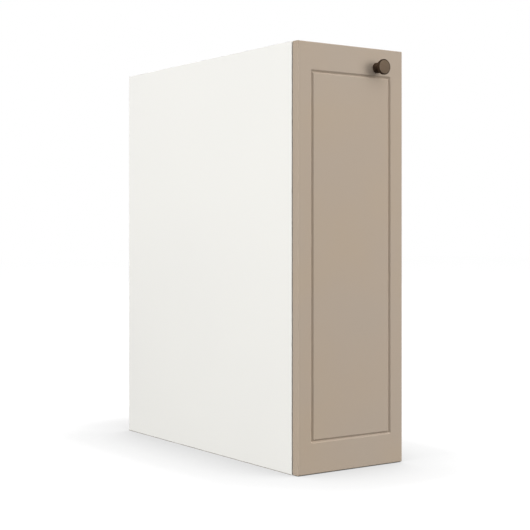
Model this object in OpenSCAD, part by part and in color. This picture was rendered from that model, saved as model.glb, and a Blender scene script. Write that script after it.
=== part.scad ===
// Narrow kitchen base cabinet: a white board carcass with one slab door on concealed hinges.
// The origin is the middle of the carcass footprint, on the floor. The door faces -Y.

/* [Carcass] */
// Width across the two sides
cabinet_w = 228; // [200:1:300]
// Height of the carcass, which stands flat on the floor
cabinet_h = 720; // [600:5:900]
// Depth of the carcass without the door
carcass_d = 560; // [450:5:620]
// Thickness of the sides, bottom, rails and shelf
board_t = 16; // [15:0.5:19]
// Thickness of the edge bands
band_t = 1; // [0.6:0.1:2]
// Rounding of the edge bands' front corners
band_round = 0.8; // [0.2:0.1:1.5]
// Front-to-back size of each top rail
rail_d = 100; // [90:5:140]
// Radius of the worktop screw holes in the rails
worktop_hole_r = 2.5; // [2:0.25:4]

/* [Back panel] */
// Thickness of the back panel
back_t = 3; // [2.5:0.5:6]
// Space behind the back panel
back_inset = 20; // [12:1:26]
// Depth of the grooves that hold the back panel
groove_depth = 7; // [5:0.5:9]
// Play of the back panel in its grooves, on each face
groove_play = 0.1; // [0.05:0.05:0.4]
// Gap between the back panel's edges and the bottom of its grooves
groove_end_gap = 0.5; // [0.2:0.1:1.5]

/* [Shelf] */
// Which row of holes carries the shelf, counted from the lowest
shelf_row = 6; // [1:1:7]
// Gap between each shelf end and the side
shelf_end_gap = 1; // [0.9:0.1:2]
// Distance of the shelf's front edge behind the carcass front
shelf_setback = 30; // [20:1:45]
// Gap between the shelf and the back panel
shelf_back_gap = 8; // [2:1:20]

/* [Rows of holes] */
// Spacing of the holes in a row
row_pitch = 32; // [25:1:40]
// Distance of the front column from the carcass front
front_column_in = 37; // [34:1:40]
// Distance of the rear column from the carcass back
rear_column_in = 101; // [90:1:160]
// Height of the lowest hole, and least distance of the highest from the top
row_margin = 184; // [176:1:220]
// Diameter of the shelf pins
pin_d = 5; // [4:0.5:6]
// Depth of the drilled holes in the sides
hole_depth = 12; // [11.5:0.5:13]
// Radial clearance of pins, dowels and screws in their holes
hole_clear = 0.05; // [0.02:0.01:0.1]

/* [Corner fixings] */
// Distance of the dowels from the front and back of the carcass
dowel_in = 37; // [36:1:45]
// Distance of the cam locks from the front and back of the carcass
cam_in = 69; // [62:1:75]
// Diameter of the dowels
dowel_d = 8; // [6:1:8]
// Length of the dowels
dowel_l = 30; // [28:1:36]
// Length of each dowel inside the side panel
dowel_in_side = 11; // [9:0.5:11]
// Diameter of the cam locks
cam_d = 15; // [14:0.5:16]
// Depth of a cam lock's pocket
cam_pocket = 12.5; // [12:0.25:13]
// Distance from a board's end to the centre of its cam locks
cam_reach = 34; // [30:1:38]
// Thread diameter of the cam bolts
bolt_thread_d = 6; // [5:0.5:6.5]
// Length of a cam bolt's thread
bolt_thread_l = 11; // [9:0.5:11]
// Diameter of the bolt's head inside the cam
bolt_head_d = 6.6; // [6:0.1:6.8]
// Diameter of the bolt's neck behind that head
bolt_neck_d = 4; // [3.5:0.1:4.5]
// Diameter of the bore for a cam bolt in a board's end
bolt_bore_d = 8; // [7.5:0.25:8.5]

/* [Door] */
// Thickness of the door
door_t = 16; // [16:0.5:22]
// Gap between the closed door and the carcass
door_gap = 1.5; // [1.2:0.1:2.5]
// Distance of the door's edges inside the cabinet's width, on each side
door_side_reveal = 0.5; // [0.5:0.25:1.5]
// Distance of the door's top edge below the cabinet's top
door_top_reveal = 0.5; // [0:0.5:4]
// Distance of the door's lower edge above the floor
door_floor_gap = 1; // [1:0.5:8]
// Rounding of the door's front edges
front_arris = 1.5; // [1:0.25:3]
// Rounding of the door's back edges
back_arris = 2.25; // [2:0.25:3]

/* [Groove line] */
// Width of the V groove at the door's face
groove_w = 6.5; // [4.5:0.25:7.5]
// Depth of the V groove
groove_v_depth = 2.8; // [2:0.1:3]
// Distance of the upright grooves from the door's sides
groove_in_side = 29.5; // [24:0.5:40]
// Distance of the upper groove from the door's top
groove_in_top = 49.2; // [46:0.1:70]
// Distance of the lower groove from the door's lower edge
groove_in_bottom = 53.9; // [40:0.1:70]

/* [Hinges] */
// Distance of the hinges from the door's top and lower edge
hinge_in = 100; // [90:1:140]
// Angle through which the door opens
open_angle = 95; // [80:1:95]
// Diameter of the bores for the hinge cups
cup_d = 35; // [35:0.5:36]
// Depth of the hinge cups in the door
cup_depth = 11.5; // [11.5:0.1:12]
// Wood left between the cup's bore and the door's edge
cup_edge = 5; // [4.5:0.25:5.5]
// Distance of the arm's outer pivot from the side panel
outer_arm_pivot_in = 12.7; // [12:0.1:13.4]
// Distance between the arm's two pivots
arm_pivot_gap = 6.9; // [6.5:0.1:7.2]
// Distance of both arm pivots in front of the carcass
arm_pivot_out = 8; // [7.6:0.1:8.4]
// Distance of the outer cup pivot from the cup's middle
outer_cup_pivot_side = 12.7; // [12.4:0.1:13]
// Depth of the outer cup pivot below the door's back
outer_cup_pivot_depth = 7.1; // [6.8:0.1:7.4]
// Distance of the inner cup pivot from the cup's middle
inner_cup_pivot_side = 7.8; // [7.4:0.1:8]
// Depth of the inner cup pivot below the door's back
inner_cup_pivot_depth = 2.4; // [2.3:0.1:2.6]
// Turn of the outer links for each degree that the door turns
outer_link_rate = 0.19; // [0.17:0.01:0.2]
// Turn of the inner links for each degree that the door turns
inner_link_rate = 0.44; // [0.42:0.01:0.46]
// Diameter of the hinge pins
hinge_pin_d = 2.4; // [2:0.1:2.5]
// Distance of the mounting plate's screws behind the carcass front
plate_screw_in = 37; // [36:0.5:38]
// Distance between the mounting plate's two screws
plate_screw_gap = 32; // [30:1:34]
// Distance between a cup's two screws
cup_screw_gap = 48; // [46:1:52]
// Distance of the cup's screws from the cup's middle, away from the door's edge
cup_screw_side = 6; // [5:0.5:8]

/* [Knob] */
// Distance of the knob from the door's free side
knob_in = 57.7; // [44:0.1:70]
// Distance of the knob below the door's top
knob_down = 33; // [24:0.5:80]
// Diameter of the knob's head
knob_d = 26.7; // [24:0.1:34]
// Diameter of the flat on the knob's face
knob_flat_d = 22; // [18:0.1:23]
// Height of the knob in front of the door
knob_h = 21; // [19:0.5:26]
// Thickness of the knob's head at its rim
knob_rim_t = 3.4; // [2.5:0.1:4]
// Diameter of the knob's foot
knob_foot_d = 18.4; // [16:0.1:20]
// Diameter of the knob's neck
knob_neck_d = 10.6; // [9.5:0.1:12]
// Thread diameter of the knob's screw
knob_screw_d = 4; // [3.5:0.5:4]
// Length of the screw's thread inside the knob
knob_thread_l = 9; // [7:0.5:11]

/* [Door bumpers] */
// Diameter of the door bumpers
bumper_d = 8; // [6:0.5:12]
// Distance of the bumpers from the door's top and lower edge
bumper_in = 30; // [15:1:60]

/* [Hidden] */

eps = 0.01;
half_w = cabinet_w / 2;
inner_half_w = half_w - board_t;
front_y = -carcass_d / 2;
back_y = carcass_d / 2;
core_front_y = front_y + band_t;
rail_z = cabinet_h - board_t;
worktop_hole_spacing = 64;
band_corner = min(band_round, band_t - eps);

// Back panel
back_face_y = back_y - back_inset - back_t;
back_half_w = inner_half_w + groove_depth - groove_end_gap;
back_low_z = board_t - groove_depth + groove_end_gap;
back_high_z = rail_z + groove_depth - groove_end_gap;

// Rows of holes for the shelf pins
front_column_y = front_y + front_column_in;
rear_column_y = back_y - rear_column_in;
row_count = floor((cabinet_h - 2 * row_margin) / row_pitch + eps) + 1;
pin_z = row_margin + min(shelf_row, row_count - 1) * row_pitch;
shelf_z = pin_z + pin_d / 2;
shelf_half_w = inner_half_w - shelf_end_gap;
shelf_front_y = front_y + shelf_setback;
shelf_back_y = back_face_y - shelf_back_gap;
pin_in_side = 8;
pin_reach = 9;
pin_flange_t = 0.8;
pin_flange_d = 7.5;
pin_tongue_t = 1.6;
pin_tongue_w = 11;
pin_tongue_round = 2;

// Corner fixings: where each row of them crosses the sides
fixing_levels = [board_t / 2, rail_z + board_t / 2];
cam_rows = [front_y + cam_in, back_y - cam_in];
dowel_rows = [front_y + dowel_in, back_y - dowel_in];
cam_play = 0.1;
cam_sink = 0.2;
cam_chamber_d = 9.6;
cam_chamber_h = 7.6;
cam_slot_play = 0.5;
cam_entry_play = 0.3;
cam_lock_turn = 110;
cam_slot_end = 30;
cam_recess_l = 6.4;
cam_recess_w = 1.2;
cam_recess_depth = 2.4;
bolt_collar_d = 7.4;
bolt_collar_t = 2.5;
bolt_shank_d = 5;
bolt_head_l = 4;
bolt_tip = 1;
bolt_taper = 1;
dowel_chamfer = 1;

// Door
door_left = -half_w + door_side_reveal;
door_right = half_w - door_side_reveal;
door_low = door_floor_gap;
door_high = cabinet_h - door_top_reveal;
door_back_y = front_y - door_gap;
door_front_y = door_back_y - door_t;
groove_left = door_left + groove_in_side;
groove_right = door_right - groove_in_side;
groove_low = door_low + groove_in_bottom;
groove_high = door_high - groove_in_top;

// Hinges, in a plan frame at the left side's outer front corner: X inwards, Y to the back
hinge_levels = [door_low + hinge_in, door_high - hinge_in];
cup_x = door_side_reveal + cup_edge + cup_d / 2;
outer_arm_pivot = [board_t + outer_arm_pivot_in, -arm_pivot_out];
inner_arm_pivot = outer_arm_pivot + [arm_pivot_gap, 0];
outer_cup_pivot = [cup_x - outer_cup_pivot_side, -door_gap - outer_cup_pivot_depth];
inner_cup_pivot = [cup_x - inner_cup_pivot_side, -door_gap - inner_cup_pivot_depth];

// Layers across a hinge, as distances from its middle plane
link_bar_half = 1.8;
lug_low = 2.1;
lug_high = 3.3;
link_cheek_low = 3.7;
link_cheek_high = 5.2;
arm_cheek_low = 5.6;
arm_cheek_high = 6.8;
pocket_half = 7.2;

cup_play = 0.2;
cup_wall = 0.8;
cup_floor = 0.8;
cup_rim_t = 0.7;
cup_rim_lip = 0.8;
cup_rim_d = cup_d + 2 * cup_rim_lip;
cup_bore_depth = cup_depth + cup_play;
cup_pin_seat = 1.4;
cup_pin_half = pocket_half + cup_pin_seat;
wing_w = 13;
wing_end = 6.5;
slot_play = 0.15;
slot_steps = 14;
lug_wall = 0.7;
lug_foot_shift = 1.7;
lug_foot_w = 3.2;
link_eye_r = 2;
link_bar_w = 2.4;
inner_link_bar_w = 3.4;
outer_link_bow = 2.2;
outer_link_bow_at = 7;

plate_t = 2;
plate_h = 8.4;
plate_half = 5.2;
plate_wing_half = 24;
plate_wing_w = 12;
plate_front = 19;
plate_back = 60;
arm_web_t = 1.2;
arm_top = plate_h + arm_web_t;
arm_low = 2.3;
arm_front = 6;
arm_back = 62;
arm_boss_r = 3;
arm_tip_r = 2.2;
arm_web_end = 0.45;
arm_screw_rows = [30, 51];
arm_screw_d = 4;
arm_screw_depth = 5;
arm_screw_head_d = 7;
arm_screw_head_h = 2;
plate_screw_d = 5;
plate_screw_l = 11;
plate_screw_head_d = 8;
plate_screw_head_h = 2;
cup_screw_d = 3.5;
cup_screw_l = 10;
cup_screw_head_d = 7;
cup_screw_head_h = 1.8;
recess_depth = 1.2;
recess_w = 0.9;
screw_tip_gap = 1;
over = 1;

// Where the free end of the inner link lies in the cup when the door has turned by an angle
function turned(v, a) = [v[0] * cos(a) - v[1] * sin(a), v[0] * sin(a) + v[1] * cos(a)];
function outer_end(a) = outer_arm_pivot + turned(outer_cup_pivot - outer_arm_pivot, outer_link_rate * a);
function inner_end(a) = inner_arm_pivot + turned(inner_cup_pivot - inner_arm_pivot, inner_link_rate * a);
function slot_point(a) = outer_cup_pivot + turned(inner_end(a) - outer_end(a), a);
slot_path = [for (k = [0 : slot_steps]) slot_point(k * open_angle / slot_steps)];

// Knob and its screw
knob_x = door_right - knob_in;
knob_z = door_high - knob_down;
knob_foot_t = 2.6;
knob_foot_round = 1;
knob_bevel = (knob_d - knob_flat_d) / 2;
knob_bevel_h = 1.6;
screw_play = 0.25;
screw_head_d = 8.5;
screw_head_h = 2.4;
screw_slot_w = 1.2;
screw_slot_depth = 1.2;

// Bumpers
bumper_play = 0.02;
bumper_t = door_gap - bumper_play;
bumper_x = half_w - board_t / 2;

white_board = [0.94, 0.94, 0.92];
taupe = [0.70, 0.635, 0.57];
bronze = [0.36, 0.31, 0.27];
beech = [0.80, 0.66, 0.47];
zinc = [0.72, 0.72, 0.73];
clear_plastic = [0.85, 0.87, 0.88];

// A straight bore along X between two places
module bore_x(x0, x1, y, z, d) {
    translate([x0, y, z]) rotate([0, 90, 0]) cylinder(d = d, h = x1 - x0, $fn = 48);
}

// The same thing at both sides of the cabinet
module both_sides() {
    children();
    mirror([1, 0, 0]) children();
}

// Rectangle with two rounded corners on its lower edge
module rounded_front(width, depth, r) {
    translate([r, 0]) square([width - 2 * r, depth]);
    translate([0, r]) square([width, depth - r]);
    intersection() {
        for (x = [r, width - r]) translate([x, r]) circle(r = r, $fn = 32);
        square([width, depth]);
    }
}

// Side panels, drilled from their inner faces

module side_panel_blank() {
    groove_w_all = back_t + 2 * groove_play;
    difference() {
        translate([-half_w, core_front_y, 0]) cube([board_t, back_y - core_front_y, cabinet_h]);
        translate([-inner_half_w - groove_depth, back_face_y - groove_play, -eps])
            cube([groove_depth + eps, groove_w_all, cabinet_h + 2 * eps]);
        for (z = fixing_levels) {
            for (y = cam_rows) side_hole(y, z, bolt_thread_d);
            for (y = dowel_rows) side_hole(y, z, dowel_d);
        }
        for (k = [0 : row_count - 1]) {
            side_hole(front_column_y, row_margin + k * row_pitch, pin_d);
            side_hole(rear_column_y, row_margin + k * row_pitch, pin_d);
        }
    }
}

module side_hole(y, z, d) {
    bore_x(-inner_half_w - hole_depth, -inner_half_w + eps, y, z, d + 2 * hole_clear);
}

module side_panel_left() {
    color(white_board) difference() {
        side_panel_blank();
        for (z = hinge_levels) for (step = [-1, 1] * plate_screw_gap / 2)
            side_hole(front_y + plate_screw_in, z + step, plate_screw_d);
    }
}

module side_panel_right() {
    color(white_board) mirror([1, 0, 0]) side_panel_blank();
}

module side_edge_bands() {
    color(white_board) both_sides()
        translate([-half_w, front_y, 0]) linear_extrude(cabinet_h)
            rounded_front(board_t, band_t, band_corner);
}

// Horizontal boards between the sides, with cam pockets from below

module flat_board(y0, y1, z0, rows_cam, rows_dowel) {
    difference() {
        translate([-inner_half_w, y0, z0]) cube([2 * inner_half_w, y1 - y0, board_t]);
        both_sides() {
            for (y = rows_cam) {
                translate([-inner_half_w + cam_reach, y, z0 - eps])
                    cylinder(d = cam_d, h = cam_pocket + eps, $fn = 64);
                bore_x(-inner_half_w - eps, -inner_half_w + cam_reach, y, z0 + board_t / 2, bolt_bore_d);
            }
            for (y = rows_dowel)
                bore_x(-inner_half_w - eps, -inner_half_w + dowel_l - dowel_in_side + dowel_chamfer,
                    y, z0 + board_t / 2, dowel_d + 2 * hole_clear);
        }
    }
}

module back_groove(z0) {
    translate([-inner_half_w - eps, back_face_y - groove_play, z0])
        cube([2 * inner_half_w + 2 * eps, back_t + 2 * groove_play, groove_depth + eps]);
}

module bottom_panel() {
    color(white_board) difference() {
        flat_board(core_front_y, back_y, 0, cam_rows, dowel_rows);
        back_groove(board_t - groove_depth);
    }
}

module front_rail() {
    color(white_board) difference() {
        flat_board(core_front_y, front_y + rail_d, rail_z, [cam_rows[0]], [dowel_rows[0]]);
        worktop_holes(front_y + rail_d / 2);
    }
}

module rear_rail() {
    color(white_board) difference() {
        flat_board(back_y - rail_d, back_y, rail_z, [cam_rows[1]], [dowel_rows[1]]);
        back_groove(rail_z - eps);
        worktop_holes(back_y - rail_d / 2);
    }
}

// Clearance holes for the screws that hold a worktop
module worktop_holes(y) {
    for (x = [-1, 1] * worktop_hole_spacing / 2)
        translate([x, y, rail_z - eps]) cylinder(r = worktop_hole_r, h = board_t + 2 * eps, $fn = 32);
}

module bottom_edge_band() {
    color(white_board) cross_band(0);
}

module rail_edge_band() {
    color(white_board) cross_band(rail_z);
}

module cross_band(z0) {
    translate([inner_half_w, front_y, z0]) rotate([0, -90, 0])
        linear_extrude(2 * inner_half_w) rounded_front(board_t, band_t, band_corner);
}

module back_panel() {
    color(white_board) translate([-back_half_w, back_face_y, back_low_z])
        cube([2 * back_half_w, back_t, back_high_z - back_low_z]);
}

// Shelf and its pins

module shelf() {
    color(white_board) translate([-shelf_half_w, shelf_front_y + band_t, shelf_z])
        cube([2 * shelf_half_w, shelf_back_y - shelf_front_y - band_t, board_t]);
}

module shelf_edge_band() {
    color(white_board) translate([shelf_half_w, shelf_front_y, shelf_z]) rotate([0, -90, 0])
        linear_extrude(2 * shelf_half_w) rounded_front(board_t, band_t, band_corner);
}

// A peg with a thin flange on the side and a flat tongue under the shelf
module shelf_pins() {
    color(zinc) both_sides()
        for (y = [front_column_y, rear_column_y]) translate([-inner_half_w, y, pin_z])
            difference() {
                union() {
                    bore_x(-pin_in_side, pin_reach, 0, 0, pin_d);
                    bore_x(0, pin_flange_t, 0, 0, pin_flange_d);
                    translate([0, 0, pin_d / 2 - pin_tongue_t]) linear_extrude(pin_tongue_t) pin_tongue();
                }
                translate([0, -pin_flange_d, pin_d / 2])
                    cube([pin_reach + eps, 2 * pin_flange_d, pin_flange_d]);
            }
}

module pin_tongue() {
    r = pin_tongue_round;
    translate([0, -pin_tongue_w / 2]) square([pin_reach - r, pin_tongue_w]);
    translate([0, -pin_tongue_w / 2 + r]) square([pin_reach, pin_tongue_w - 2 * r]);
    for (y = [-1, 1] * (pin_tongue_w / 2 - r)) translate([pin_reach - r, y]) circle(r = r, $fn = 32);
}

// Cam locks, cam bolts and dowels

module at_cams() {
    both_sides() for (z = [0, rail_z]) for (y = cam_rows)
        translate([-inner_half_w, y, z]) children();
}

// A drum with a chamber for the bolt's head and a slot that closes round the bolt's neck
module cam_lock() {
    slot_h = bolt_neck_d + 2 * cam_slot_play;
    entry_d = bolt_head_d + 2 * cam_entry_play;
    entry_turn = 180 - cam_lock_turn;
    slot_turns = [entry_turn, 180 - cam_lock_turn / 2, 180 + cam_slot_end];
    difference() {
        translate([0, 0, cam_sink])
            cylinder(d = cam_d - 2 * cam_play, h = cam_pocket - cam_sink - cam_play, $fn = 64);
        translate([0, 0, (board_t - cam_chamber_h) / 2])
            cylinder(d = cam_chamber_d, h = cam_chamber_h, $fn = 48);
        translate([0, 0, board_t / 2]) {
            translate([0, 0, -slot_h / 2]) linear_extrude(slot_h)
                polygon(concat([[0, 0]], [for (turn = slot_turns) cam_d * [cos(turn), sin(turn)]]));
            rotate([0, 0, entry_turn]) rotate([0, 90, 0]) cylinder(d = entry_d, h = cam_d, $fn = 48);
        }
        for (turn = [0, 90]) rotate([0, 0, turn])
            translate([-cam_recess_l / 2, -cam_recess_w / 2, 0])
                cube([cam_recess_l, cam_recess_w, cam_recess_depth]);
    }
}

module cam_locks() {
    color(zinc) at_cams() translate([cam_reach, 0, 0]) cam_lock();
}

// Turned bolt: thread in the side, collar against its face, neck and head inside the cam
module cam_bolts() {
    thread_r = bolt_thread_d / 2;
    shank_r = bolt_shank_d / 2;
    neck_r = bolt_neck_d / 2;
    head_r = bolt_head_d / 2;
    neck_x = cam_reach - cam_d / 2 - bolt_taper;
    head_x = cam_reach - bolt_head_l / 2;
    color(zinc) at_cams() translate([0, 0, board_t / 2]) rotate([0, 90, 0]) rotate_extrude($fn = 48)
        polygon([
            [0, -bolt_thread_l], [thread_r - bolt_tip, -bolt_thread_l],
            [thread_r, -bolt_thread_l + bolt_tip],
            [thread_r, 0], [bolt_collar_d / 2, 0], [bolt_collar_d / 2, bolt_collar_t],
            [shank_r, bolt_collar_t], [shank_r, neck_x], [neck_r, neck_x + bolt_taper], [neck_r, head_x],
            [head_r, head_x + bolt_taper], [head_r, head_x + bolt_head_l - bolt_taper],
            [neck_r, head_x + bolt_head_l],
            [0, head_x + bolt_head_l]
        ]);
}

module dowels() {
    r = dowel_d / 2;
    rim = r - dowel_chamfer;
    color(beech) both_sides() for (z = fixing_levels) for (y = dowel_rows)
        translate([-inner_half_w - dowel_in_side, y, z]) rotate([0, 90, 0]) rotate_extrude($fn = 48)
            polygon([
                [0, 0], [rim, 0], [r, dowel_chamfer],
                [r, dowel_l - dowel_chamfer], [rim, dowel_l], [0, dowel_l]
            ]);
}

// Concealed hinges

module at_hinges() {
    for (z = hinge_levels) translate([-half_w, front_y, z]) children();
}

// Two equal layers above and below a hinge's middle plane, from a flat outline
module paired_layers(low, high) {
    translate([0, 0, low]) linear_extrude(high - low) children();
    translate([0, 0, -high]) linear_extrude(high - low) children();
}

module middle_layer(half) {
    translate([0, 0, -half]) linear_extrude(2 * half) children();
}

// A straight bar with square ends between two points of an outline
module bar(p, q, width) {
    step = q - p;
    translate(p) rotate(atan2(step[1], step[0])) translate([0, -width / 2]) square([norm(step), width]);
}

module at_points(points) {
    for (p = points) translate(p) children();
}

module pin_round() {
    circle(d = hinge_pin_d, $fn = 32);
}

module pin_hole() {
    circle(d = hinge_pin_d + 2 * hole_clear, $fn = 32);
}

// Plate on the side panel: two wings with screw holes and a raised rib that carries the arm
module hinge_plate() {
    difference() {
        union() {
            translate([board_t, 0, 0]) rotate([90, 0, 90]) linear_extrude(plate_t) {
                translate([plate_screw_in - plate_wing_w / 2, -plate_wing_half + plate_wing_w / 2])
                    square([plate_wing_w, 2 * plate_wing_half - plate_wing_w]);
                for (z = [-1, 1] * (plate_wing_half - plate_wing_w / 2))
                    translate([plate_screw_in, z]) circle(d = plate_wing_w, $fn = 48);
            }
            translate([board_t, 0, 0]) rotate([90, 0, 90]) linear_extrude(plate_h) {
                translate([plate_front + plate_half, -plate_half])
                    square([plate_back - plate_front - 2 * plate_half, 2 * plate_half]);
                for (y = [plate_front + plate_half, plate_back - plate_half])
                    translate([y, 0]) circle(r = plate_half, $fn = 48);
            }
        }
        for (z = [-1, 1] * plate_screw_gap / 2)
            bore_x(board_t - eps, board_t + plate_t + eps, plate_screw_in, z,
                plate_screw_d + 2 * screw_play);
        for (y = arm_screw_rows)
            bore_x(board_t + plate_h - arm_screw_depth - screw_tip_gap, board_t + plate_h + eps, y, 0,
                arm_screw_d + 2 * hole_clear);
    }
}

module hinge_plates() {
    color(zinc) at_hinges() hinge_plate();
}

// Screw along Z with its head above the origin and a cross recess in it
module cross_screw(d, length, head_d, head_h) {
    dome_r = head_d;
    difference() {
        rotate_extrude($fn = 48) union() {
            translate([0, -length]) square([d / 2, length + eps]);
            intersection() {
                square([head_d / 2, head_h]);
                translate([0, head_h - dome_r]) circle(r = dome_r, $fn = 96);
            }
        }
        for (turn = [0, 90]) rotate([0, 0, turn])
            translate([-head_d / 4, -recess_w / 2, head_h - recess_depth])
                cube([head_d / 2, recess_w, recess_depth + eps]);
    }
}

module plate_screws() {
    color(zinc) at_hinges() for (z = [-1, 1] * plate_screw_gap / 2)
        translate([board_t + plate_t, plate_screw_in, z]) rotate([0, 90, 0])
            cross_screw(plate_screw_d, plate_screw_l, plate_screw_head_d, plate_screw_head_h);
}

// Side view of the arm: a channel over the plate that widens to a nose with two pivots
module arm_outline() {
    low_x = board_t + arm_low;
    top_x = board_t + arm_top;
    difference() {
        union() {
            polygon([
                [low_x, arm_back], [low_x, arm_front], outer_arm_pivot + [-arm_boss_r, 0],
                outer_arm_pivot, inner_arm_pivot, inner_arm_pivot + [arm_tip_r, 0],
                [top_x, plate_front - arm_front], [top_x, arm_back]
            ]);
            bar(outer_arm_pivot - [0, arm_tip_r / 2], inner_arm_pivot - [0, arm_tip_r / 2], arm_tip_r);
            translate(outer_arm_pivot) circle(r = arm_boss_r, $fn = 48);
            translate(inner_arm_pivot) circle(r = arm_tip_r, $fn = 48);
        }
        at_points([outer_arm_pivot, inner_arm_pivot]) pin_hole();
    }
}

module arm_webs() {
    top_x = board_t + arm_top;
    knee = [top_x, plate_front - arm_front];
    tip = inner_arm_pivot + [arm_tip_r, 0];
    web_end = tip + (knee - tip) * arm_web_end;
    polygon([
        knee, [top_x, arm_back], [top_x - arm_web_t, arm_back], [top_x - arm_web_t, knee[1]],
        web_end - [arm_web_t, 0], web_end
    ]);
}

module hinge_arms() {
    color(zinc) at_hinges() difference() {
        union() {
            paired_layers(arm_cheek_low, arm_cheek_high) arm_outline();
            middle_layer(arm_cheek_low + eps) arm_webs();
        }
        for (y = arm_screw_rows)
            bore_x(board_t + plate_h - eps, board_t + arm_top + eps, y, 0, arm_screw_d + 2 * screw_play);
    }
}

module arm_screws() {
    color(zinc) at_hinges() for (y = arm_screw_rows)
        translate([board_t + arm_top, y, 0]) rotate([0, 90, 0])
            cross_screw(arm_screw_d, arm_screw_depth + arm_web_t, arm_screw_head_d, arm_screw_head_h);
}

// Pins in the arm: two stubs at the outer pivot, so that the inner link passes between, and one long pin
module arm_pins() {
    color(zinc) at_hinges() {
        translate(outer_arm_pivot) paired_layers(link_cheek_low, arm_cheek_high) pin_round();
        translate(inner_arm_pivot) middle_layer(arm_cheek_high) pin_round();
    }
}

// Outer link: two bowed cheeks joined by a sleeve round the pin in the cup
module outer_link() {
    reach = outer_arm_pivot - outer_cup_pivot;
    along = reach / norm(reach);
    knee = outer_cup_pivot + along * outer_link_bow_at + [along[1], -along[0]] * outer_link_bow;
    difference() {
        union() {
            paired_layers(link_cheek_low, link_cheek_high) {
                at_points([outer_arm_pivot, outer_cup_pivot]) circle(r = link_eye_r, $fn = 48);
                translate(knee) circle(d = link_bar_w, $fn = 32);
                bar(outer_cup_pivot, knee, link_bar_w);
                bar(knee, outer_arm_pivot, link_bar_w);
            }
            middle_layer(link_cheek_low + eps) translate(outer_cup_pivot)
                circle(r = link_eye_r, $fn = 48);
        }
        middle_layer(pocket_half) at_points([outer_arm_pivot, outer_cup_pivot]) pin_hole();
    }
}

module outer_links() {
    color(zinc) at_hinges() outer_link();
}

// Inner link: a bar between the cup's lugs, with a sleeve round its pin in the arm
module inner_link() {
    difference() {
        union() {
            middle_layer(link_bar_half) {
                at_points([inner_arm_pivot, inner_cup_pivot]) circle(r = link_eye_r, $fn = 48);
                bar(inner_cup_pivot, inner_arm_pivot, inner_link_bar_w);
            }
            middle_layer(link_cheek_high) translate(inner_arm_pivot) circle(r = link_eye_r, $fn = 48);
        }
        middle_layer(pocket_half) at_points([inner_arm_pivot, inner_cup_pivot]) pin_hole();
    }
}

module inner_links() {
    color(zinc) at_hinges() inner_link();
}

// Pins fixed in the free ends of the inner links, which run in the slots of the cup's lugs
module link_pins() {
    color(zinc) at_hinges() translate(inner_cup_pivot) middle_layer(lug_high) pin_round();
}

// Slot along the path of that pin, as wide as the pin and its play
module slot_outline(width) {
    for (k = [0 : slot_steps]) translate(slot_path[k]) circle(d = width, $fn = 32);
    for (k = [1 : slot_steps]) bar(slot_path[k - 1], slot_path[k], width);
}

module cup_shell() {
    pocket_r = cup_d / 2 - cup_play - cup_wall;
    floor_y = -door_gap - cup_depth + cup_floor;
    difference() {
        union() {
            translate([cup_x, -door_gap + cup_rim_t, 0]) rotate([90, 0, 0])
                cylinder(r = cup_d / 2 - cup_play, h = cup_rim_t + cup_depth, $fn = 96);
            translate([cup_x, -door_gap + cup_rim_t, 0]) rotate([90, 0, 0]) linear_extrude(cup_rim_t) {
                circle(d = cup_rim_d, $fn = 96);
                cup_wings();
            }
        }
        intersection() {
            translate([cup_x, floor_y, 0]) rotate([-90, 0, 0])
                cylinder(r = pocket_r, h = cup_depth + over, $fn = 96);
            translate([0, floor_y - over, -pocket_half])
                cube([2 * cup_x, cup_depth + 3 * over, 2 * pocket_half]);
        }
        at_cup_screws() rotate([90, 0, 0])
            translate([0, 0, -over]) cylinder(d = cup_screw_d + 2 * screw_play, h = 2 * over, $fn = 32);
        middle_layer(cup_pin_half) translate(outer_cup_pivot) pin_hole();
    }
}

module cup_wings() {
    length = cup_screw_gap + 2 * wing_end;
    translate([cup_screw_side - wing_w / 2, -length / 2 + wing_w / 2]) square([wing_w, length - wing_w]);
    for (z = [-1, 1] * (length - wing_w) / 2) translate([cup_screw_side, z]) circle(d = wing_w, $fn = 48);
}

module at_cup_screws() {
    for (z = [-1, 1] * cup_screw_gap / 2)
        translate([cup_x + cup_screw_side, -door_gap + cup_rim_t, z]) children();
}

// Two lugs stand on the cup's floor and hold the slots
module cup_lugs() {
    floor_y = -door_gap - cup_depth + cup_floor / 2;
    foot = slot_path[floor(slot_steps / 2)] + [lug_foot_shift, 0];
    paired_layers(lug_low, lug_high) difference() {
        intersection() {
            union() {
                slot_outline(hinge_pin_d + 2 * (slot_play + lug_wall));
                bar([foot[0], floor_y], foot, lug_foot_w);
            }
            translate([0, floor_y]) square([2 * cup_x, -door_gap + cup_rim_t - floor_y]);
        }
        slot_outline(hinge_pin_d + 2 * slot_play);
    }
}

module hinge_cups() {
    color(zinc) at_hinges() union() {
        cup_shell();
        cup_lugs();
    }
}

module cup_pins() {
    color(zinc) at_hinges() translate(outer_cup_pivot) middle_layer(cup_pin_half) pin_round();
}

module cup_screws() {
    color(zinc) at_hinges() at_cup_screws() rotate([-90, 0, 0])
        cross_screw(cup_screw_d, cup_screw_l, cup_screw_head_d, cup_screw_head_h);
}

// Door: a board with eased edges and a frame line cut by a V-shaped bit

module eased_profile(length) {
    translate([front_arris, -door_t]) square([length - 2 * front_arris, door_t]);
    translate([back_arris, -door_t + front_arris])
        square([length - 2 * back_arris, door_t - front_arris]);
    translate([0, -door_t + front_arris]) square([length, door_t - front_arris - back_arris]);
    for (x = [front_arris, length - front_arris])
        translate([x, -door_t + front_arris]) circle(r = front_arris, $fn = 48);
    for (x = [back_arris, length - back_arris])
        translate([x, -back_arris]) circle(r = back_arris, $fn = 32);
}

module door_blank() {
    door_w = door_right - door_left;
    door_h = door_high - door_low;
    intersection() {
        translate([door_left, door_back_y, door_low]) linear_extrude(door_h) eased_profile(door_w);
        translate([door_right, door_back_y, door_low]) rotate([0, -90, 0]) linear_extrude(door_w)
            eased_profile(door_h);
    }
}

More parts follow.
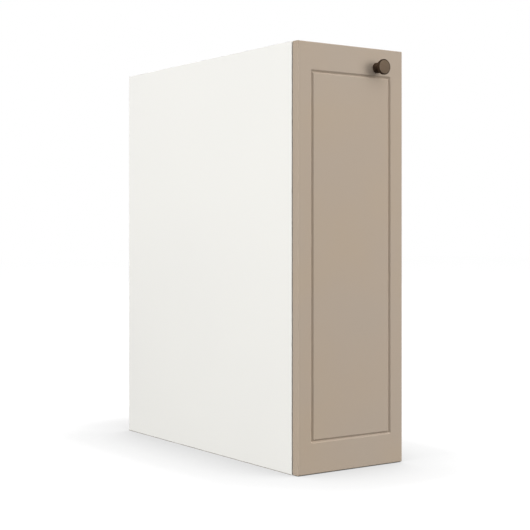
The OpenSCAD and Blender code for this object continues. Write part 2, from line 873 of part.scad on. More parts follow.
// Cutter for one straight run of the groove, along +X from the origin, with its tip inside the door
module groove_run(length) {
    half = groove_w / 2;
    rise = eps * half / groove_v_depth;
    rotate([90, 0, 90]) linear_extrude(length)
        polygon([[groove_v_depth, 0], [-eps, half + rise], [-eps, -half - rise]]);
}

module groove_corner() {
    half = groove_w / 2;
    rise = eps * half / groove_v_depth;
    translate([0, -eps, 0]) rotate([-90, 0, 0])
        cylinder(r1 = half + rise, r2 = 0, h = groove_v_depth + eps, $fn = 48);
}

module frame_groove() {
    for (z = [groove_low, groove_high]) {
        translate([groove_left, door_front_y, z]) groove_run(groove_right - groove_left);
        for (x = [groove_left, groove_right]) translate([x, door_front_y, z]) groove_corner();
    }
    for (x = [groove_left, groove_right])
        translate([x, door_front_y, groove_low]) rotate([0, -90, 0]) groove_run(groove_high - groove_low);
}

module door_panel() {
    color(taupe) difference() {
        door_blank();
        frame_groove();
        translate([knob_x, door_back_y + eps, knob_z]) rotate([90, 0, 0])
            cylinder(d = knob_screw_d + 2 * screw_play, h = door_t + 2 * eps, $fn = 32);
        at_hinges() {
            translate([cup_x, -door_gap + eps, 0]) rotate([90, 0, 0])
                cylinder(d = cup_d, h = cup_bore_depth + eps, $fn = 96);
            at_cup_screws() rotate([90, 0, 0])
                cylinder(d = cup_screw_d + 2 * hole_clear, h = cup_screw_l + screw_tip_gap, $fn = 32);
        }
    }
}

// Knob: a turned head with a flat face on a waisted neck and a round foot
module knob() {
    head_r = knob_d / 2;
    neck_r = knob_neck_d / 2;
    foot_r = knob_foot_d / 2;
    head_z = knob_h - knob_bevel_h - knob_rim_t;
    cove_r = head_r - neck_r;
    color(bronze) translate([knob_x, door_front_y, knob_z]) rotate([90, 0, 0]) difference() {
        rotate_extrude($fn = 96) union() {
            square([foot_r, knob_foot_t - knob_foot_round]);
            square([foot_r - knob_foot_round, knob_foot_t]);
            translate([foot_r - knob_foot_round, knob_foot_t - knob_foot_round])
                intersection() {
                    circle(r = knob_foot_round, $fn = 32);
                    square(knob_foot_round);
                }
            square([neck_r, head_z]);
            // Flare under the head, hollowed by a quarter of a circle
            difference() {
                translate([0, head_z - cove_r]) square([head_r, cove_r]);
                translate([head_r, head_z - cove_r]) circle(r = cove_r, $fn = 96);
            }
            translate([0, head_z - eps]) square([head_r, knob_rim_t + eps]);
            polygon([
                [0, head_z + knob_rim_t - eps], [head_r, head_z + knob_rim_t - eps],
                [head_r - knob_bevel, knob_h], [0, knob_h]
            ]);
        }
        translate([0, 0, -eps])
            cylinder(d = knob_screw_d + 2 * hole_clear, h = knob_thread_l + screw_tip_gap + eps, $fn = 32);
    }
}

// Screw from the door's back into the knob
module knob_screw() {
    color(zinc) translate([knob_x, door_back_y, knob_z]) difference() {
        rotate([90, 0, 0]) rotate_extrude($fn = 48) union() {
            square([knob_screw_d / 2, door_t + knob_thread_l]);
            translate([0, -screw_head_h]) intersection() {
                square([screw_head_d / 2, screw_head_h]);
                translate([0, screw_head_d]) circle(r = screw_head_d, $fn = 96);
            }
        }
        translate([-screw_head_d / 2, screw_head_h - screw_slot_depth, -screw_slot_w / 2])
            cube([screw_head_d, screw_slot_depth + eps, screw_slot_w]);
    }
}

// Clear pads on the door's back that meet the right side panel's front edge
module door_bumpers() {
    dome_r = (pow(bumper_d / 2, 2) + pow(bumper_t, 2)) / (2 * bumper_t);
    color(clear_plastic) for (z = [door_low + bumper_in, door_high - bumper_in])
        translate([bumper_x, door_back_y, z]) rotate([-90, 0, 0]) intersection() {
            cylinder(d = bumper_d, h = bumper_t, $fn = 48);
            translate([0, 0, bumper_t - dome_r]) sphere(r = dome_r, $fn = 96);
        }
}

side_panel_left();
side_panel_right();
bottom_panel();
front_rail();
rear_rail();
back_panel();
shelf();
side_edge_bands();
bottom_edge_band();
rail_edge_band();
shelf_edge_band();
cam_locks();
cam_bolts();
dowels();
shelf_pins();
hinge_plates();
plate_screws();
hinge_arms();
arm_screws();
arm_pins();
outer_links();
inner_links();
link_pins();
hinge_cups();
cup_screws();
cup_pins();
door_panel();
knob();
knob_screw();
door_bumpers();
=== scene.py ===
import bmesh
import bpy
import math
import numpy as np
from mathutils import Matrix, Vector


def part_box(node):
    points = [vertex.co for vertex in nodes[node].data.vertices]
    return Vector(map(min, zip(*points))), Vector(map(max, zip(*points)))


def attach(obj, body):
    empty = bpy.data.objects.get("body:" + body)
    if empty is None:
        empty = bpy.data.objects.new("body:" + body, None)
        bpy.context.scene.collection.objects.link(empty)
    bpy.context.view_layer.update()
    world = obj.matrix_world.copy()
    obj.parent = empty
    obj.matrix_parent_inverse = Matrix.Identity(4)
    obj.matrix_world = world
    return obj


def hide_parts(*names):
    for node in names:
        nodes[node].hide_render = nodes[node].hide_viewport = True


# Narrow kitchen base cabinet, dressed over its CAD frame. Metres, Z up, the door faces -Y.
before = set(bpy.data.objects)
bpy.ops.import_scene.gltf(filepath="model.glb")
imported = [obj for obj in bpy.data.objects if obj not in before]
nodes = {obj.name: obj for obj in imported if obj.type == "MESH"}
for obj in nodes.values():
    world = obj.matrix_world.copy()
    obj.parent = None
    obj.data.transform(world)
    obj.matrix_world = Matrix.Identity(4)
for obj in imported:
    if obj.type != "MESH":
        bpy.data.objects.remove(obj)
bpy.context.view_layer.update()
print("frame loaded:", len(nodes), "nodes")

# Sockets of a Mix node for colours: the colour where its mask is 0, the one where it is 1, and the output
zeroColor, oneColor, mixedColor = 6, 7, 2


# sRGB hex to linear RGBA
def linear(hexColor):
    channels = [int(hexColor[i:i + 2], 16) / 255 for i in (1, 3, 5)]
    return [c / 12.92 if c <= 0.04045 else ((c + 0.055) / 1.055) ** 2.4 for c in channels] + [1.0]


# Adds one node: settings go to its sockets by name or number, or else to its own properties, links bring
# other nodes' outputs to its sockets, and stops are the positions and colours of its ramp
def addNode(tree, kind, settings=None, links=None, stops=None):
    node = tree.nodes.new(kind)
    for key, value in (settings or {}).items():
        if isinstance(key, int) or (key in node.inputs and not hasattr(node, key)):
            node.inputs[key].default_value = value
        else:
            setattr(node, key, value)
    for key, source in (links or {}).items():
        tree.links.new(source, node.inputs[key])
    if stops:
        ramp = node.color_ramp.elements
        for position, color in stops[1:-1]:
            ramp.new(position).color = color
        for end in (0, -1):
            ramp[end].position, ramp[end].color = stops[end]
    return node


# A new material with an empty tree, and the coordinates to paint it by
def newMaterial(name):
    material = bpy.data.materials.new(name)
    material.use_nodes = True
    tree = material.node_tree
    tree.nodes.clear()
    return material, tree, addNode(tree, "ShaderNodeTexCoord").outputs


# Closes a material with its Principled shader
def closeMaterial(material, settings, links):
    shader = addNode(material.node_tree, "ShaderNodeBsdfPrincipled", settings, links)
    addNode(material.node_tree, "ShaderNodeOutputMaterial", links={"Surface": shader.outputs["BSDF"]})
    return material


# Puts a grid of points into a mesh: each cell between two rows and two columns is a quad, and the last
# column joins the first if asked
def gridMesh(name, points, closeColumns=False):
    rows, columns = points.shape[:2]
    spans = columns if closeColumns else columns - 1
    r, c = np.meshgrid(np.arange(rows - 1), np.arange(spans), indexing="ij")
    nextC = (c + 1) % columns
    quads = np.stack([r * columns + c, r * columns + nextC,
                      (r + 1) * columns + nextC, (r + 1) * columns + c], -1).reshape(-1, 4)
    mesh = bpy.data.meshes.new(name)
    mesh.from_pydata(points.reshape(-1, 3).tolist(), [], quads.tolist())
    mesh.polygons.foreach_set("use_smooth", np.ones(len(mesh.polygons), bool))
    mesh.update()
    piece = bpy.data.objects.new(name, mesh)
    bpy.context.scene.collection.objects.link(piece)
    return piece


# Camera
view = dict(
    place=(-1.2992, -1.8985, 0.4008),  # where the photographer stood, just above the cabinet's middle
    turn=34.96,                        # degrees to the right of looking at the door square on
    lens=82.15, sensor=36,             # millimetres
    shift=(0, -0.0595),
    farthest=60,
)
cameraData = bpy.data.cameras.new("studioCamera")
cameraData.lens = view["lens"]
cameraData.sensor_width = view["sensor"]
cameraData.shift_x, cameraData.shift_y = view["shift"]
cameraData.clip_end = view["farthest"]
camera = bpy.data.objects.new("studioCamera", cameraData)
camera.location = view["place"]
camera.rotation_euler = (math.pi / 2, 0, -math.radians(view["turn"]))
bpy.context.scene.collection.objects.link(camera)
bpy.context.scene.camera = camera
bpy.context.scene.view_settings.view_transform = "Standard"
print("camera set")

# Light: a pale room and four round soft boxes far out: a key from the right front, a broad one from above
# the front, a fill from the left, and a weak one behind that keeps the wall side readable
studio = dict(
    roomLevel=0.14,      # the room's own light, where white is 1
    floorBounce=0.20,    # how much of its light the floor gives back to the cabinet
    aim=(0, 0, 0.36),    # the cabinet's middle, where every lamp points
    distance=7.0,        # of each lamp from there
    # each lamp's direction from the aim, its watts per square metre there, and its spread in degrees
    lamps=dict(
        key=((0.60, -0.78, 0.17), 1.70, 34),
        top=((0.10, -0.68, 0.73), 1.80, 80),
        fill=((-0.97, -0.06, 0.16), 2.44, 16),
        rear=((0.45, 0.88, 0.12), 1.30, 60),
    ),
    mirrored=("top",),   # a low lamp's mirror image would burn out the rails, seen from its far side
)
world = bpy.data.worlds.new("paleRoom")
bpy.context.scene.world = world
world.use_nodes = True
tree = world.node_tree
tree.nodes.clear()
rays = addNode(tree, "ShaderNodeLightPath").outputs
# The camera, reflections and what shows through clear plastic find the room white
white = rays["Is Camera Ray"]
for kind in ("Is Glossy Ray", "Is Transmission Ray"):
    white = addNode(tree, "ShaderNodeMath", {"operation": "MAXIMUM"}, {0: white, 1: rays[kind]}).outputs[0]
level = addNode(tree, "ShaderNodeMapRange", {"To Min": studio["roomLevel"], "To Max": 1.0}, {"Value": white})
sky = addNode(tree, "ShaderNodeBackground", {"Color": (1, 1, 1, 1)}, {"Strength": level.outputs[0]})
addNode(tree, "ShaderNodeOutputWorld", links={"Surface": sky.outputs[0]})


# A round soft box: its radius is the distance times the tangent of half its spread
def addSoftBox(name, source, power, spread):
    radius = studio["distance"] * math.tan(math.radians(spread) / 2)
    data = bpy.data.lights.new(name + "Lamp", "AREA")
    data.shape = "DISK"
    data.size = 2 * radius
    # total watts = watts per square metre at the aim * pi * (distance squared + radius squared)
    data.energy = power * math.pi * (studio["distance"] ** 2 + radius ** 2)
    lamp = bpy.data.objects.new(name + "Lamp", data)
    toward = np.array(source) / np.linalg.norm(source)
    lamp.location = np.array(studio["aim"]) + studio["distance"] * toward
    lamp.rotation_euler = (math.acos(toward[2]), 0, math.atan2(toward[0], -toward[1]))
    lamp.visible_camera = False
    lamp.visible_glossy = name in studio["mirrored"]
    bpy.context.scene.collection.objects.link(lamp)


for name, (source, power, spread) in studio["lamps"].items():
    addSoftBox(name, source, power, spread)
print("light set")

# Matt white studio floor. For the camera it is burnt out: a pale glow with painted shadow, darker where the
# cabinet stands close, and the lamps' own soft shadow over it.
floorLook = dict(
    halfWidth=14, cells=8,
    grainSize=1 / 300, grainStrength=0.05, grainDepth=0.0005,
    shadowShare=0.12,    # how much of the lamps' light the camera sees on it
    reach=0.20,          # how far round the cabinet the painted shadow reaches
    # how open the floor is at a spot, and its glow there: less open spots get painted shadow
    fade=((0.0, 0.0), (0.45, 0.60), (0.80, 0.81), (0.97, 0.885), (1.0, 0.975)),
    paintedShadowSamples=16,
)
material, tree, coords = newMaterial("mattStudioFloor")
rays = addNode(tree, "ShaderNodeLightPath").outputs
grain = addNode(tree, "ShaderNodeTexNoise", {"Scale": 1 / floorLook["grainSize"]},
                {"Vector": coords["Object"]})
bump = addNode(tree, "ShaderNodeBump", {
    "Strength": floorLook["grainStrength"], "Distance": floorLook["grainDepth"]},
    {"Height": grain.outputs["Fac"]})
level = addNode(tree, "ShaderNodeMapRange", {
    "To Min": studio["floorBounce"], "To Max": floorLook["shadowShare"]}, {"Value": rays["Is Camera Ray"]})
paint = addNode(tree, "ShaderNodeCombineColor", links={i: level.outputs[0] for i in range(3)})
matt = addNode(tree, "ShaderNodeBsdfDiffuse", links={"Color": paint.outputs[0], "Normal": bump.outputs[0]})
# The floor's painted shadow: openness is near 0 under the door, about 0.5 beside a wall and 1 beyond its
# reach, and the glow darkens with it
paintedShadowOpenness = addNode(tree, "ShaderNodeAmbientOcclusion", {
    "samples": floorLook["paintedShadowSamples"], "Distance": floorLook["reach"]})
fade = addNode(tree, "ShaderNodeValToRGB", links={0: paintedShadowOpenness.outputs["AO"]},
               stops=[(at, (glow, glow, glow, 1)) for at, glow in floorLook["fade"]])
strength = addNode(tree, "ShaderNodeMath", {"operation": "MULTIPLY"},
                   {0: fade.outputs[0], 1: rays["Is Camera Ray"]})
shine = addNode(tree, "ShaderNodeEmission", links={"Strength": strength.outputs[0]})
both = addNode(tree, "ShaderNodeAddShader", links={0: matt.outputs[0], 1: shine.outputs[0]})
addNode(tree, "ShaderNodeOutputMaterial", links={"Surface": both.outputs[0]})
line = np.linspace(-floorLook["halfWidth"], floorLook["halfWidth"], floorLook["cells"] + 1)
gx, gy = np.meshgrid(line, line)  # flat square grid at floor level
floor = gridMesh("studioFloor", np.stack([gx, gy, np.zeros_like(gx)], -1))
floor.data.materials.append(material)
print("floor made")

# White melamine-faced particleboard: a satin foil pressed with a fine grain, and raw chips on cut edges
boardLook = dict(
    foil="#f2f1ec", foilDim="#eeede9", cloudSize=0.35,
    paintedContactShade="#8f897f", paintedContactShadeHeight=0.0009,         # painted shade: a grey line along the lower edge, where the board stands on the floor
    chips=["#9a7f5b", "#b49b76", "#c7b08a", "#a98e67"], chipSize=0.0015,
    chipFlatness=2.4,
    gapInk="#86694a", gapSize=0.0025, gapFrom=0.62,  # dark gaps between the chips
    foilFrom=0.6,        # a face is foil where more than this of its normal runs along facing
    foilRoughness=0.42, sawnRoughness=0.85,
    foilGrain=0.06, sawnGrain=0.8, grainSize=0.0009, grainDepth=0.0002,
)


# facing is the axis that the foil looks along; every face that looks another way is a sawn edge or a bore
def melamineBoard(name, facing):
    look = boardLook
    material, tree, coords = newMaterial(name)
    place = coords["Object"]
    normal = addNode(tree, "ShaderNodeSeparateXYZ", links={0: coords["Normal"]})
    along = addNode(tree, "ShaderNodeMath", {"operation": "ABSOLUTE"}, {0: normal.outputs[facing]})
    sawn = addNode(tree, "ShaderNodeMath", {"operation": "LESS_THAN", 1: look["foilFrom"]},
                   {0: along.outputs[0]}).outputs[0]
    cloud = addNode(tree, "ShaderNodeTexNoise", {"Scale": 1 / look["cloudSize"], "Detail": 1.0},
                    {"Vector": place})
    clean = addNode(tree, "ShaderNodeMix", {
        "data_type": "RGBA", zeroColor: linear(look["foil"]), oneColor: linear(look["foilDim"])},
        {0: cloud.outputs["Fac"]})
    axes = addNode(tree, "ShaderNodeSeparateXYZ", links={0: place})
    # Painted shade: a thin grey line over the lowest 0.9 mm of the board, where it stands on the floor
    contactShadeMask = addNode(tree, "ShaderNodeMath", {"operation": "LESS_THAN", 1: look["paintedContactShadeHeight"]},
                     {0: axes.outputs["Z"]})
    foil = addNode(tree, "ShaderNodeMix", {"data_type": "RGBA", oneColor: linear(look["paintedContactShade"])},
                   {0: contactShadeMask.outputs[0], zeroColor: clean.outputs[mixedColor]})
    # The press lays the chips flat, so the pattern is squeezed along the board's thickness
    flatness = tuple(look["chipFlatness"] if axis == facing else 1.0 for axis in "XYZ")
    pressed = addNode(tree, "ShaderNodeMapping", {"Scale": flatness}, {"Vector": place}).outputs[0]
    chips = addNode(tree, "ShaderNodeTexVoronoi", {"Scale": 1 / look["chipSize"]}, {"Vector": pressed})
    tint = addNode(tree, "ShaderNodeSeparateColor", links={0: chips.outputs["Color"]})
    last = len(look["chips"]) - 1
    chip = addNode(tree, "ShaderNodeValToRGB", links={0: tint.outputs[0]},
                   stops=[(i / last, linear(tone)) for i, tone in enumerate(look["chips"])])
    gaps = addNode(tree, "ShaderNodeTexNoise", {"Scale": 1 / look["gapSize"], "Detail": 3.0},
                   {"Vector": pressed})
    gap = addNode(tree, "ShaderNodeMath", {"operation": "GREATER_THAN", 1: look["gapFrom"]},
                  {0: gaps.outputs["Fac"]})
    core = addNode(tree, "ShaderNodeMix", {"data_type": "RGBA", oneColor: linear(look["gapInk"])},
                   {0: gap.outputs[0], zeroColor: chip.outputs[0]})
    color = addNode(tree, "ShaderNodeMix", {"data_type": "RGBA"},
                    {0: sawn, zeroColor: foil.outputs[mixedColor], oneColor: core.outputs[mixedColor]})
    rough = addNode(tree, "ShaderNodeMapRange", {
        "To Min": look["foilRoughness"], "To Max": look["sawnRoughness"]}, {"Value": sawn})
    grain = addNode(tree, "ShaderNodeTexNoise", {"Scale": 1 / look["grainSize"], "Detail": 2.0},
                    {"Vector": place})
    depth = addNode(tree, "ShaderNodeMapRange", {
        "To Min": look["foilGrain"], "To Max": look["sawnGrain"]}, {"Value": sawn})
    height = addNode(tree, "ShaderNodeMath", {"operation": "MULTIPLY"},
                     {0: grain.outputs["Fac"], 1: depth.outputs[0]})
    bump = addNode(tree, "ShaderNodeBump", {"Strength": 1.0, "Distance": look["grainDepth"]},
                   {"Height": height.outputs[0]})
    return closeMaterial(material, {"IOR": 1.5}, {
        "Base Color": color.outputs[mixedColor], "Roughness": rough.outputs[0], "Normal": bump.outputs[0]})


# White ABS edge band: an extruded strip, smoother than the foil and a touch darker
bandLook = dict(
    color="#f1f0eb", dim="#ecebe7", roughness=0.36,
    grainSize=0.0012, grainStrength=0.08, grainDepth=0.0002,
)


def edgeBand():
    material, tree, coords = newMaterial("whiteAbsEdgeBand")
    grain = addNode(tree, "ShaderNodeTexNoise", {"Scale": 1 / bandLook["grainSize"]},
                    {"Vector": coords["Object"]})
    tone = addNode(tree, "ShaderNodeMix", {
        "data_type": "RGBA", zeroColor: linear(bandLook["color"]), oneColor: linear(bandLook["dim"])},
        {0: grain.outputs["Fac"]})
    bump = addNode(tree, "ShaderNodeBump", {
        "Strength": bandLook["grainStrength"], "Distance": bandLook["grainDepth"]},
        {"Height": grain.outputs["Fac"]})
    return closeMaterial(material, {"Roughness": bandLook["roughness"], "IOR": 1.53}, {
        "Base Color": tone.outputs[mixedColor], "Normal": bump.outputs[0]})


# Thin hardboard back: white lacquered inside, brown pressed fibre on the wall side and edges
backLook = dict(
    lacquer="#edede8", lacquerBelow=-0.5,            # it is on faces whose normal's Y is below this
    fibres=[(0.30, "#7b5a3c"), (0.55, "#94714e"), (0.75, "#a98662")], fibreSize=1 / 700,
    lacquerRoughness=0.40, fibreRoughness=0.75,
    reliefStrength=0.15, reliefDepth=0.0002,
)


def hardboardBack():
    material, tree, coords = newMaterial("lacqueredHardboard")
    normal = addNode(tree, "ShaderNodeSeparateXYZ", links={0: coords["Normal"]})
    raw = addNode(tree, "ShaderNodeMath", {"operation": "GREATER_THAN", 1: backLook["lacquerBelow"]},
                  {0: normal.outputs["Y"]}).outputs[0]
    fibre = addNode(tree, "ShaderNodeTexNoise", {
        "Scale": 1 / backLook["fibreSize"], "Detail": 4.0, "Roughness": 0.7}, {"Vector": coords["Object"]})
    brown = addNode(tree, "ShaderNodeValToRGB", links={0: fibre.outputs["Fac"]},
                    stops=[(at, linear(tone)) for at, tone in backLook["fibres"]])
    color = addNode(tree, "ShaderNodeMix", {"data_type": "RGBA", zeroColor: linear(backLook["lacquer"])},
                    {0: raw, oneColor: brown.outputs[0]})
    rough = addNode(tree, "ShaderNodeMapRange", {
        "To Min": backLook["lacquerRoughness"], "To Max": backLook["fibreRoughness"]}, {"Value": raw})
    bump = addNode(tree, "ShaderNodeBump", {
        "Strength": backLook["reliefStrength"], "Distance": backLook["reliefDepth"]},
        {"Height": fibre.outputs["Fac"]})
    return closeMaterial(material, {"IOR": 1.5}, {
        "Base Color": color.outputs[mixedColor], "Roughness": rough.outputs[0], "Normal": bump.outputs[0]})


# Satin lacquer sprayed on fibreboard: even taupe with a faint mottle and the pebble of a spray gun
lacquerLook = dict(
    mottle=[(0.3, "#b1a18f"), (0.5, "#b0a191"), (0.7, "#afa192")], mottleSize=0.16,
    roughness=0.62, specular=0.2,
    pebbleSize=0.0011, pebbleStrength=0.10, pebbleDepth=0.0002,
)


def taupeLacquer():
    material, tree, coords = newMaterial("satinTaupeLacquer")
    mottle = addNode(tree, "ShaderNodeTexNoise", {"Scale": 1 / lacquerLook["mottleSize"], "Detail": 2.0},
                     {"Vector": coords["Object"]})
    tone = addNode(tree, "ShaderNodeValToRGB", links={0: mottle.outputs["Fac"]},
                   stops=[(at, linear(taupe)) for at, taupe in lacquerLook["mottle"]])
    pebble = addNode(tree, "ShaderNodeTexNoise", {"Scale": 1 / lacquerLook["pebbleSize"], "Detail": 1.0},
                     {"Vector": coords["Object"]})
    bump = addNode(tree, "ShaderNodeBump", {
        "Strength": lacquerLook["pebbleStrength"], "Distance": lacquerLook["pebbleDepth"]},
        {"Height": pebble.outputs["Fac"]})
    return closeMaterial(material, {
        "Roughness": lacquerLook["roughness"], "IOR": 1.48, "Specular IOR Level": lacquerLook["specular"]},
        {"Base Color": tone.outputs[0], "Normal": bump.outputs[0]})


# Plated steel: stamped or turned, then nickel or zinc plated. Fine rolling lines and a cloudy sheen.
platingLook = dict(
    nickel=dict(tones=["#b9b6b0", "#a8a5a0"], roughness=(0.22, 0.34)),
    zinc=dict(tones=["#b4b8bc", "#9da1a6"], roughness=(0.28, 0.42)),
    cloudSize=0.006,
    lineSize=0.0004, lineSqueeze=0.06, lineStrength=0.08, lineDepth=0.0001,
)


def platedSteel(name, kind):
    look = platingLook[kind]
    material, tree, coords = newMaterial(name)
    cloud = addNode(tree, "ShaderNodeTexNoise", {"Scale": 1 / platingLook["cloudSize"], "Detail": 3.0},
                    {"Vector": coords["Object"]})
    tone = addNode(tree, "ShaderNodeMix", {
        "data_type": "RGBA", zeroColor: linear(look["tones"][0]), oneColor: linear(look["tones"][1])},
        {0: cloud.outputs["Fac"]})
    rough = addNode(tree, "ShaderNodeMapRange", {
        "To Min": look["roughness"][0], "To Max": look["roughness"][1]}, {"Value": cloud.outputs["Fac"]})
    # Squeezed coordinates draw the noise out into lines along Y
    drawn = addNode(tree, "ShaderNodeMapping", {"Scale": (1.0, platingLook["lineSqueeze"], 1.0)},
                    {"Vector": coords["Object"]})
    lines = addNode(tree, "ShaderNodeTexNoise", {"Scale": 1 / platingLook["lineSize"]},
                    {"Vector": drawn.outputs[0]})
    bump = addNode(tree, "ShaderNodeBump", {
        "Strength": platingLook["lineStrength"], "Distance": platingLook["lineDepth"]},
        {"Height": lines.outputs["Fac"]})
    return closeMaterial(material, {"Metallic": 1.0}, {
        "Base Color": tone.outputs[mixedColor], "Roughness": rough.outputs[0], "Normal": bump.outputs[0]})


# Raw milled beech: pale pinkish wood with short flecks along the dowel
beechLook = dict(
    flecks=[(0.35, "#a97f55"), (0.50, "#c39c6e"), (0.65, "#cfab7e")],
    fleckSize=1 / 1400, fleckSqueeze=0.12, roughness=0.7,
)


def rawBeech():
    material, tree, coords = newMaterial("rawBeech")
    drawn = addNode(tree, "ShaderNodeMapping", {"Scale": (beechLook["fleckSqueeze"], 1.0, 1.0)},
                    {"Vector": coords["Object"]})
    fleck = addNode(tree, "ShaderNodeTexNoise", {"Scale": 1 / beechLook["fleckSize"], "Detail": 2.0},
                    {"Vector": drawn.outputs[0]})
    tone = addNode(tree, "ShaderNodeValToRGB", links={0: fleck.outputs["Fac"]},
                   stops=[(at, linear(wood)) for at, wood in beechLook["flecks"]])
    return closeMaterial(material, {"Roughness": beechLook["roughness"], "IOR": 1.45}, {
        "Base Color": tone.outputs[0]})


# Clear polyurethane, cast in drops: glassy and almost colourless, so the door's back shows through it
clearLook = dict(
    tones=["#f2f5f6", "#e6ebec"], cloudSize=1 / 900,
    roughness=0.08, clearness=0.85,
)


def clearPlastic():
    material, tree, coords = newMaterial("clearPolyurethane")
    cloud = addNode(tree, "ShaderNodeTexNoise", {"Scale": 1 / clearLook["cloudSize"]},
                    {"Vector": coords["Object"]})
    tone = addNode(tree, "ShaderNodeMix", {
        "data_type": "RGBA", zeroColor: linear(clearLook["tones"][0]),
        oneColor: linear(clearLook["tones"][1])}, {0: cloud.outputs["Fac"]})
    return closeMaterial(material, {
        "Roughness": clearLook["roughness"], "IOR": 1.49, "Transmission Weight": clearLook["clearness"]},
        {"Base Color": tone.outputs[mixedColor]})


# Antique bronze plating on die-cast zinc: brown patina in the turned hollows, painted shade in a dark ring
# round the face's edge and bevel, and the face itself rubbed lighter in fine scratches. Heights are measured
# from the door.
bronzeLook = dict(
    hollowDark="#47372a", hollow="#5f4b3b", cloudSize=1 / 260, groundRoughness=0.80,
    # the dark ring is painted shade on the rim's bevel and the face's outer edge
    ring="#3a2f24", rimShadeHeight=0.0199,
    scratchDark="#594a3b", rubbed="#746454", faceRoughness=(0.38, 0.55),
    rubbedFrom=0.0185, rubbedFull=0.0205, faceRadius=0.0119,
    fade=0.0005,         # the width over which the painted rim shade and the face's edge soften
    scratchSize=0.0006, scratchSqueeze=0.15, scratchTurn=0.5, scratchStrength=0.2, scratchDepth=0.0001,
)


def antiqueBronze(center):
    look = bronzeLook
    material, tree, coords = newMaterial("antiqueBronzePlating")
    place = coords["Object"]
    centred = addNode(tree, "ShaderNodeMapping", {"Location": tuple(-c for c in center)}, {"Vector": place})
    axes = addNode(tree, "ShaderNodeSeparateXYZ", links={0: centred.outputs[0]})
    flat = addNode(tree, "ShaderNodeCombineXYZ", links={"X": axes.outputs["X"], "Z": axes.outputs["Z"]})
    radius = addNode(tree, "ShaderNodeVectorMath", {"operation": "LENGTH"}, {0: flat.outputs[0]})
    # The knob points towards -Y, so a height above the door is a place below 0 on Y
    face = addNode(tree, "ShaderNodeMapRange", {
        "From Min": -look["rubbedFrom"], "From Max": -look["rubbedFull"]}, {"Value": axes.outputs["Y"]})
    inside = addNode(tree, "ShaderNodeMapRange", {
        "From Min": look["faceRadius"], "From Max": look["faceRadius"] - look["fade"]},
        {"Value": radius.outputs["Value"]})
    onFace = addNode(tree, "ShaderNodeMath", {"operation": "MULTIPLY"},
                     {0: face.outputs[0], 1: inside.outputs[0]}).outputs[0]
    # Painted shade: above the rim's height, all but the rubbed face takes the dark ring colour
    rimShadeMask = addNode(tree, "ShaderNodeMapRange", {
        "From Min": -look["rimShadeHeight"], "From Max": -look["rimShadeHeight"] - look["fade"]},
        {"Value": axes.outputs["Y"]})
    cloud = addNode(tree, "ShaderNodeTexNoise", {"Scale": 1 / look["cloudSize"], "Detail": 3.0},
                    {"Vector": place})
    hollow = addNode(tree, "ShaderNodeMix", {
        "data_type": "RGBA", zeroColor: linear(look["hollowDark"]), oneColor: linear(look["hollow"])},
        {0: cloud.outputs["Fac"]})
    ground = addNode(tree, "ShaderNodeMix", {"data_type": "RGBA", oneColor: linear(look["ring"])},
                     {0: rimShadeMask.outputs[0], zeroColor: hollow.outputs[mixedColor]})
    streaks = addNode(tree, "ShaderNodeMapping", {
        "Scale": (1.0, 1.0, look["scratchSqueeze"]), "Rotation": (0, look["scratchTurn"], 0)},
        {"Vector": centred.outputs[0]})
    scratch = addNode(tree, "ShaderNodeTexNoise", {"Scale": 1 / look["scratchSize"], "Detail": 3.0},
                      {"Vector": streaks.outputs[0]}).outputs["Fac"]
    rubbed = addNode(tree, "ShaderNodeMix", {
        "data_type": "RGBA", zeroColor: linear(look["scratchDark"]), oneColor: linear(look["rubbed"])},
        {0: scratch})
    color = addNode(tree, "ShaderNodeMix", {"data_type": "RGBA"},
                    {0: onFace, zeroColor: ground.outputs[mixedColor], oneColor: rubbed.outputs[mixedColor]})
    faceRough = addNode(tree, "ShaderNodeMapRange", {
        "To Min": look["faceRoughness"][0], "To Max": look["faceRoughness"][1]}, {"Value": scratch})
    rough = addNode(tree, "ShaderNodeMapRange", {"To Min": look["groundRoughness"]},
                    {"Value": onFace, "To Max": faceRough.outputs[0]})
    bump = addNode(tree, "ShaderNodeBump", {
        "Strength": look["scratchStrength"], "Distance": look["scratchDepth"]}, {"Height": scratch})
    return closeMaterial(material, {"Metallic": 0.85}, {
        "Base Color": color.outputs[mixedColor], "Roughness": rough.outputs[0], "Normal": bump.outputs[0]})


# Materials on the CAD nodes
finishes = {
    melamineBoard("whiteMelamineSides", "X"): ["side_panel_left", "side_panel_right"],
    melamineBoard("whiteMelamineShelves", "Z"): ["bottom_panel", "front_rail", "rear_rail", "shelf"],
    edgeBand(): ["side_edge_bands", "bottom_edge_band", "rail_edge_band", "shelf_edge_band"],
    hardboardBack(): ["back_panel"],
    taupeLacquer(): ["door_panel"],
    platedSteel("nickelPlatedSteel", "nickel"): [
        "hinge_plates", "hinge_arms", "outer_links", "inner_links", "hinge_cups", "shelf_pins"],
    platedSteel("zincPlatedSteel", "zinc"): [
        "cam_locks", "cam_bolts", "plate_screws", "arm_screws", "arm_pins", "link_pins",
        "cup_screws", "cup_pins", "knob_screw"],
    rawBeech(): ["dowels"],
}
for finish, names in finishes.items():
    for name in names:
        nodes[name].data.materials.clear()
        nodes[name].data.materials.append(finish)
print("finishes set on", sum(len(names) for names in finishes.values()), "nodes")


# A profile of radius and height, turned round an axis that leaves origin towards -Y or +Y
def turnedPiece(name, origin, profile, direction, steps):
    radius, height = profile.T
    angle = np.linspace(0, 2 * math.pi, steps, endpoint=False) * -direction
    # point = origin + radius * (cos, 0, sin) + height along Y
    x = origin[0] + radius[:, None] * np.cos(angle)
    y = origin[1] + direction * height[:, None] + 0 * x
    z = origin[2] + radius[:, None] * np.sin(angle)
    piece = gridMesh(name, np.stack([x, y, z], -1), closeColumns=True)
    # The ring of points at each pole becomes one point
    shell = bmesh.new()
    shell.from_mesh(piece.data)
    bmesh.ops.remove_doubles(shell, verts=shell.verts, dist=1e-7)
    shell.to_mesh(piece.data)
    shell.free()
    return piece


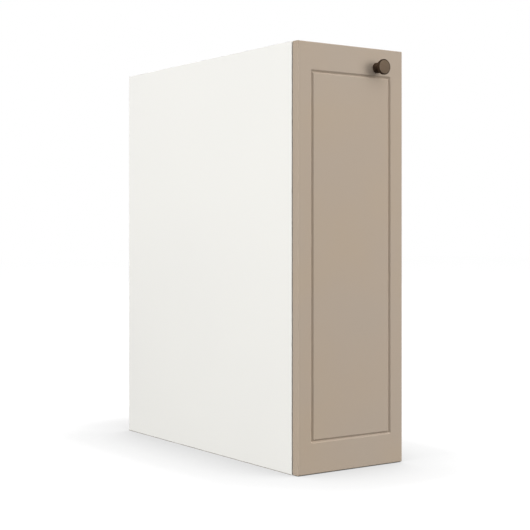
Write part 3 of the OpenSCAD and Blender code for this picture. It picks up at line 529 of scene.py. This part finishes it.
# Points on an arc in the profile plane: centre + radius * (cos, sin), from a start angle to an end angle
def arc(center, radius, start, end, count):
    angle = np.radians(np.linspace(start, end, count))
    return np.array(center) + radius * np.stack([np.cos(angle), np.sin(angle)], -1)


# Knob: foot, waisted neck, flared head with a bevelled rim and a slightly crowned face
knobShape = dict(
    foot=0.0092, neck=0.0053, head=0.01335, face=0.0124,                  # radii
    footHeight=0.0026, rimLow=0.0160, rimHigh=0.0201, height=0.021,       # heights above the door
    footRound=0.0009, neckRound=0.0012, rimRound=0.0006, bevelRound=0.0007, faceRound=0.0004,
    flareLift=0.0004, bevelDrop=0.0005, faceOut=0.0002,                   # how far those arcs' centres move
    crown=0.0003, crownFrom=0.98,                                         # its height, its share of the face
    steps=96,
)
low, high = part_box("knob")
knobFoot = ((low.x + high.x) / 2, high.y, (low.z + high.z) / 2)
k = knobShape
cove = k["head"] - k["neck"]
crownRadius = np.linspace(k["face"] * k["crownFrom"], 0, 12)
profile = np.concatenate([
    [[0.0, 0.0], [k["foot"], 0.0]],
    # the foot's top edge, the neck's root, and the flare that takes the neck out to the head
    arc((k["foot"] - k["footRound"], k["footHeight"] - k["footRound"]), k["footRound"], 0, 90, 8),
    arc((k["neck"] + k["neckRound"], k["footHeight"] + k["neckRound"]), k["neckRound"], 270, 180, 8),
    arc((k["head"], k["rimLow"] - cove + k["flareLift"]), cove, 180, 97, 18),
    # the rim's lower edge, its upper edge, and the face's edge beyond the bevel
    arc((k["head"] - k["rimRound"], k["rimLow"] + k["rimRound"]), k["rimRound"], -60, 0, 6),
    arc((k["head"] - k["bevelRound"], k["rimHigh"] - k["bevelDrop"]), k["bevelRound"], 0, 50, 6),
    arc((k["face"] + k["faceOut"], k["height"] - k["crown"] - k["faceRound"]), k["faceRound"], 50, 90, 6),
    # the crown: height - crown * (radius / face radius) squared
    np.stack([crownRadius, k["height"] - k["crown"] * (crownRadius / k["face"]) ** 2], -1),
])
knob = turnedPiece("bronzeKnob", knobFoot, profile, -1, k["steps"])
knob.data.materials.append(antiqueBronze(knobFoot))
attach(knob, "door")
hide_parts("knob")
print("knob turned")

# Bumpers: clear domes stuck on the back of the door
domeShape = dict(steps=48, arcPoints=14)
low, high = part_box("door_bumpers")
domeRadius = (high.x - low.x) / 2
domeHeight = high.y - low.y
sphere = (domeRadius ** 2 + domeHeight ** 2) / (2 * domeHeight)
rim = math.degrees(math.asin(domeRadius / sphere))
cap = arc((0, domeHeight - sphere), sphere, 90 - rim, 90, domeShape["arcPoints"])
profile = np.concatenate([[[0.0, 0.0], [domeRadius, 0.0]], cap[1:]])
clear = clearPlastic()
middle = (low.x + high.x) / 2
for spot, z in (("low", low.z + domeRadius), ("high", high.z - domeRadius)):
    dome = turnedPiece("clearBumper." + spot, (middle, low.y, z), profile, 1, domeShape["steps"])
    dome.data.materials.append(clear)
    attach(dome, "door")
    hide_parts("door_bumpers")
print("bumpers made")
